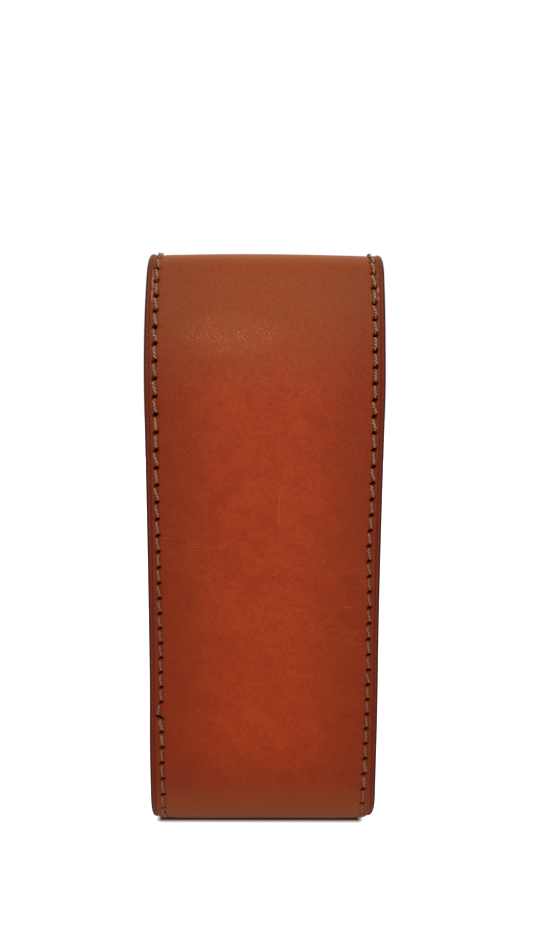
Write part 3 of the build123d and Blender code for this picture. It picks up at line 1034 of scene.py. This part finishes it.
def near_cover_rows(across, rows, inset):
    """Distance from the stitch line that goes round the cover."""
    low = rows[:, None] < cover_corner
    return np.where(low, np.abs(inset - stitch_inset), near_side_rows(across, rows, inset))


def build_leather(name, sheet, rows, holes, near_rows):
    return build_sheet(name, sheet, rows, edge_insets, leather_step, 0, leather, edge_round,
                       leather_material, leather_finish(holes, near_rows))


def build_leather_back():
    rows = spread(crest_middle, mouth - end_insets[-1], side_holes[:, 1])
    rows = np.concatenate([rows[:-1], (mouth - end_insets)[::-1]])
    holes = np.concatenate([side_holes[side_holes[:, 1] > crest_middle - seam_reach], mouth_holes])
    sheet = Sheet(crest_middle, mouth, half_width, end_corner=mouth_corner)
    return build_leather("leather_back", sheet, rows, holes, near_back_rows)


def build_leather_front():
    rows = spread(end_insets[-1], crest_middle, side_holes[:, 1])
    rows = np.concatenate([end_insets, rows[1:]])
    holes = np.concatenate([side_holes[side_holes[:, 1] < crest_middle + seam_reach], end_holes])
    sheet = Sheet(0.0, crest_middle, half_width, start_corner=cover_corner)
    return build_leather("leather_front", sheet, rows, holes, near_cover_rows)


def build_lining(name, sheet, rows):
    return build_sheet(name, sheet, rows, plain_insets, lining_step, leather, lining, lining_round,
                       lining_material)


def lining_rows(start, end):
    return np.linspace(start, end, int((end - start) / lining_row_step))


def build_linings():
    """Lining of the flap's back, of the pocket and of the cover."""
    notch = down_back(gusset_top_height + 0.3)
    flap_sheet = Sheet(crest_middle, notch, half_width)
    flap = build_lining("flap_lining", flap_sheet, lining_rows(crest_middle, notch))
    reach = half_width - flange_width - lining_margin
    pocket = build_lining("pocket_lining", Sheet(notch, mouth, reach), lining_rows(notch, mouth))
    rows = np.concatenate([end_insets[::3], lining_rows(end_reach, crest_middle)])
    cover_sheet = Sheet(0.0, crest_middle, half_width, start_corner=cover_corner)
    return flap, pocket, build_lining("cover_lining_suede", cover_sheet, rows)


# The side gussets


def gusset_outline():
    """Free edge of the wall above its flange, from the mouth over the top and down to the flange on the back,
    in Y and Z."""
    fold_y, fold_z = frame["joints"][0]["pos_m"][1] / MM, frame["joints"][0]["pos_m"][2] / MM
    clear = lined_leather + flap_clearance
    front_y = front - clear
    swing = front_y - fold_y
    outline = [(front_y, mouth_height), (front_y, fold_z)]
    distances = np.linspace(line.reach(crest), down_back(gusset_top_height), 60)
    points, outward = line.at(distances)
    top = points - clear * outward
    outside = np.hypot(top[:, 0] - fold_y, top[:, 1] - fold_z) > swing
    for angle in np.radians(np.arange(3, 88, 3)):
        spot = (fold_y + swing * cos(angle), fold_z + swing * sin(angle))
        if spot[1] < height - clear:
            outline.append(spot)
    outline += [tuple(spot) for spot, out in zip(top, outside) if not out and spot[0] < outline[-1][0]]
    return outline


def build_gusset(side, name):
    """A moulded side wall. Its flange turns out through a bend and lies on the leather's inner face."""
    stops = (down_back(gusset_top_height), line.reach(base_back), line.end_of(base_front), mouth)
    rows = np.unique([np.linspace(start, end, gusset_rows) for start, end in zip(stops, stops[1:])])
    wall_x = half_width - flange_width + gusset_leather
    bend_x = wall_x + gusset_bend
    section = [(half_width - inset, seam_depth) for inset in (0, 0.3, 1.2, 2.4)]
    for angle in np.radians(np.linspace(0, 90, 7)):
        section.append((bend_x - gusset_bend * sin(angle), seam_depth + gusset_bend * (1 - cos(angle))))
    section.append((wall_x, seam_depth + gusset_bend + gusset_rim))
    across, deep = np.array(section).T
    swept = line.place(side * across[None], rows[:, None], -deep[None])
    count, wide = swept.shape[:2]
    free = np.array([(side * wall_x, y, z) for y, z in gusset_outline()])
    points = np.concatenate([swept.reshape(-1, 3), free])
    ring = np.concatenate([np.arange(count) * wide + wide - 1, count * wide + np.arange(len(free))])
    faces = [quads(count, wide, side < 0), (ring if side > 0 else ring[::-1])[None]]
    edge = np.zeros(len(points))
    edge[np.arange(count) * wide] = 1
    edge[count * wide:] = 0.6
    attributes = {"skin": points[:, [1, 2, 0]], "edge": edge}
    piece = make_object(f"{name}_side_gusset", points, faces, gusset_material, attributes, sharp=40)
    thick = piece.modifiers.new("thickness", "SOLIDIFY")
    thick.thickness = gusset_leather * MM
    thick.offset = -1
    soft = piece.modifiers.new("soft_edge", "BEVEL")
    soft.width = 0.3 * MM
    soft.segments = 2
    soft.limit_method = "ANGLE"
    soft.angle_limit = radians(50)
    return piece


# The press stud


def lathe(name, profile, place, material, turns=72):
    """A round solid about a line along Y. The profile gives places along Y and radii, all above zero."""
    profile = np.array(profile)
    angles = np.linspace(0, 2 * pi, turns, endpoint=False)
    y = place[1] + profile[:, :1] + 0 * angles
    x = place[0] + profile[:, 1:] * np.cos(angles)
    z = place[2] + profile[:, 1:] * np.sin(angles)
    spots = np.stack([x, y, z], axis=-1).reshape(-1, 3)
    faces = tube_faces(1, len(profile), turns)
    return make_object(name, spots, faces, material, {"skin": spots[:, [0, 2, 1]]}, sharp=35)


def build_cap():
    """The domed cap on the cover, with a rolled rim and a turned ring."""
    dome = (cap_radius ** 2 + (cap_crown - cap_rim) ** 2) / (2 * (cap_crown - cap_rim))
    roll = cap_rim / 2
    profile = [(0.0, cap_radius - 0.5)]
    for angle in np.radians(np.linspace(-90, 60, 10)):
        profile.append((roll + roll * sin(angle), cap_radius - roll + roll * cos(angle)))
    for radius in np.linspace(cap_radius - 0.4, 0.1, 30):
        rise = cap_crown - dome + sqrt(dome ** 2 - radius ** 2)
        profile.append((rise - ring_depth * bell(radius - ring_radius, ring_half), radius))
    return lathe("press_stud_cap", profile, (0, front, snap_height), cap_material)


# Putting the pieces together


def follow_rear_fold(piece):
    """Bakes the piece's place into its points."""
    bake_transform(piece)


def follow_front_fold(piece):
    """Bakes the piece's place into its points."""
    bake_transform(piece)


def settle(piece, follow, slot, *nodes):
    """A piece has its place baked in or rides on a body, and the solids it stands for are hidden. slot is not
    used.
    """
    if callable(follow):
        follow(piece)
    else:
        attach(piece, follow)
    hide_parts(*nodes)


def build_side(side, holes, name):
    """The thread and the gusset of one side."""
    stitches = pairs(holes)
    middle = stitches[..., 1].mean(axis=1)
    behind = stitches[middle > crest_middle]
    before = stitches[middle <= crest_middle]
    lined = behind[behind[:, 1, 1] < down_back(gusset_top_height)]
    flanged = behind[behind[:, 0, 1] > down_back(gusset_top_height)]
    twice = doubled(behind, *(left_double_levels if side < 0 else right_double_levels))
    back_rows = [(behind, 0.0, False), (lined, -lined_leather, True), (flanged, -seam_depth, True),
                 (twice, double_rise, False)]
    back_thread = build_thread(f"{name}_back_thread", back_rows, 40 + side)
    settle(back_thread, follow_rear_fold, "thread", f"{name}_shell_stitching", f"{name}_band_stitching")
    front_thread = build_thread(f"{name}_front_thread", both_sides(before), 50 + side)
    settle(front_thread, follow_front_fold, "thread", f"{name}_cover_stitching")
    settle(build_gusset(side, name), "case", "gusset_leather", f"{name}_gusset")


def repaint(material, *nodes):
    """Gives solids that stay as they are their finish."""
    for node in nodes:
        mesh = frame["nodes"][node].data
        mesh.materials.clear()
        mesh.materials.append(material)


settle(build_leather_back(), follow_rear_fold, "outer_leather", "outer_shell", "top_band")
settle(build_leather_front(), follow_front_fold, "outer_leather", "flap_cover")
flap_lining, pocket_lining, cover_lining = build_linings()
settle(flap_lining, follow_rear_fold, "lining", "band_lining")
settle(pocket_lining, "case", "lining", "shell_lining")
settle(cover_lining, follow_front_fold, "lining", "cover_lining")
build_side(-1, left_holes, "left")
build_side(1, right_holes, "right")
end_thread = build_thread("cover_end_thread", both_sides(pairs(end_holes)), 60)
settle(end_thread, "flap_front", "thread", "cover_end_stitching")
mouth_thread = build_thread("mouth_thread", both_sides(pairs(mouth_holes)), 61)
settle(mouth_thread, "case", "thread", "mouth_stitching")
settle(build_cap(), "flap_front", "snap_brass", "snap_cap")
repaint(divider_material, "left_divider", "right_divider")
repaint(brass_material, "snap_socket", "snap_stud", "snap_post")
repaint(steel_material, "snap_spring")


# Floor, light and camera


def seen_by(tree, *kinds):
    """1 for rays of these kinds."""
    path = tree.nodes.new("ShaderNodeLightPath")
    share = path.outputs[kinds[0]]
    for kind in kinds[1:]:
        most = tree.nodes.new("ShaderNodeMath")
        most.operation = "MAXIMUM"
        tree.links.new(share, most.inputs[0])
        tree.links.new(path.outputs[kind], most.inputs[1])
        share = most.outputs[0]
    return share


def past(graph, place, reach):
    """How far a place lies outside a reach to both sides, in metres."""
    return graph.math("MAXIMUM", graph.math("SUBTRACT", graph.math("ABSOLUTE", place), reach * MM), 0.0)


def floor_material():
    """Pale, white to the eye a short way from the case, and shaded close under it, where its colour is a
    painted shadow tint of dark brown. In gloss the shade reaches further, because there the floor is seen
    from low down."""
    graph = Graph("pale_floor")
    across, deep, _ = graph.split(graph.node("TexCoord").outputs["Object"])
    aside = past(graph, graph.plus(across, shade_shift * MM), half_width - glow_start)
    behind = past(graph, deep, shade_reach - base_back.centre[0])
    way = graph.math("POWER", graph.plus(graph.times(aside, aside), graph.times(behind, behind)), 0.5)
    away = graph.step(way, 0.0, glow_reach * MM)
    seen = graph.times(away, seen_by(graph.tree, "Is Camera Ray", "Is Transmission Ray"))
    far = graph.times(graph.step(way, 0.0, gloss_reach * MM), gloss_level)
    mirrored = graph.times(far, seen_by(graph.tree, "Is Glossy Ray"))
    # Close under the case the floor is tinted dark brown: a painted shadow.
    tint = graph.mix(away, shade_tint, pale_tint)
    return graph.finish(Base_Color=tint, Roughness=1.0, Specular_IOR_Level=0.0, Emission_Color=white,
                        Emission_Strength=graph.math("MAXIMUM", seen, mirrored))


def build_floor(reach):
    """A square floor, given by half its side in metres."""
    mesh = bpy.data.meshes.new("floor")
    mesh.from_pydata([(-reach, -reach, 0), (reach, -reach, 0), (reach, reach, 0), (-reach, reach, 0)], [],
                     [(0, 1, 2, 3)])
    mesh.materials.append(floor_material())
    add_object("floor", mesh)


def build_world():
    """White to the eye and in gloss, and a plain level of light for everything else."""
    world = bpy.data.worlds.new("studio")
    world.use_nodes = True
    bpy.context.scene.world = world
    tree = world.node_tree
    background = tree.nodes["Background"]
    background.inputs["Color"].default_value = white
    strength = tree.nodes.new("ShaderNodeMix")
    strength.data_type = "FLOAT"
    tree.links.new(seen_by(tree, "Is Camera Ray", "Is Glossy Ray", "Is Transmission Ray"), strength.inputs[0])
    strength.inputs[2].default_value = room_light
    strength.inputs[3].default_value = 1.0
    tree.links.new(strength.outputs[0], background.inputs["Strength"])


def build_lamp(name, place, aim_height, size, power, in_gloss=True):
    """A soft lamp that shines on the case. Places and sizes are in metres, power in watts."""
    light = bpy.data.lights.new(name, "AREA")
    light.shape = "RECTANGLE"
    light.size, light.size_y = size
    light.energy = power
    lamp = add_object(name, light)
    lamp.visible_glossy = in_gloss
    lamp.location = place
    direction = np.array((0, 0, aim_height)) - np.array(place)
    lamp.rotation_euler = Vector(direction).to_track_quat("-Z", "Y").to_euler()


def build_camera():
    data = bpy.data.cameras.new("camera")
    data.lens = camera_lens
    data.sensor_width = camera_sensor
    data.clip_start = 0.01
    camera = add_object("camera", data)
    turn = Matrix.Rotation(radians(-camera_yaw), 4, "Z")
    turn = turn @ Matrix.Rotation(radians(90 - camera_pitch), 4, "X")
    turn = turn @ Matrix.Rotation(radians(camera_roll), 4, "Z")
    camera.matrix_world = Matrix.Translation([value * MM for value in camera_place]) @ turn
    bpy.context.scene.camera = camera


build_floor(3.0)
build_world()
build_lamp("overhead_softbox", place=(0.0, -0.45, 0.75), aim_height=0.1, size=(0.7, 0.5), power=2.0)
build_lamp("front_softbox", place=(0.15, -1.0, 0.2), aim_height=0.08, size=(0.9, 0.9), power=4.5)
build_lamp("far_side_softbox", place=(0.1, 1.0, 0.3), aim_height=0.08, size=(0.9, 0.9), power=3.5,
           in_gloss=False)
build_camera()
bpy.context.scene.view_settings.view_transform = "Standard"
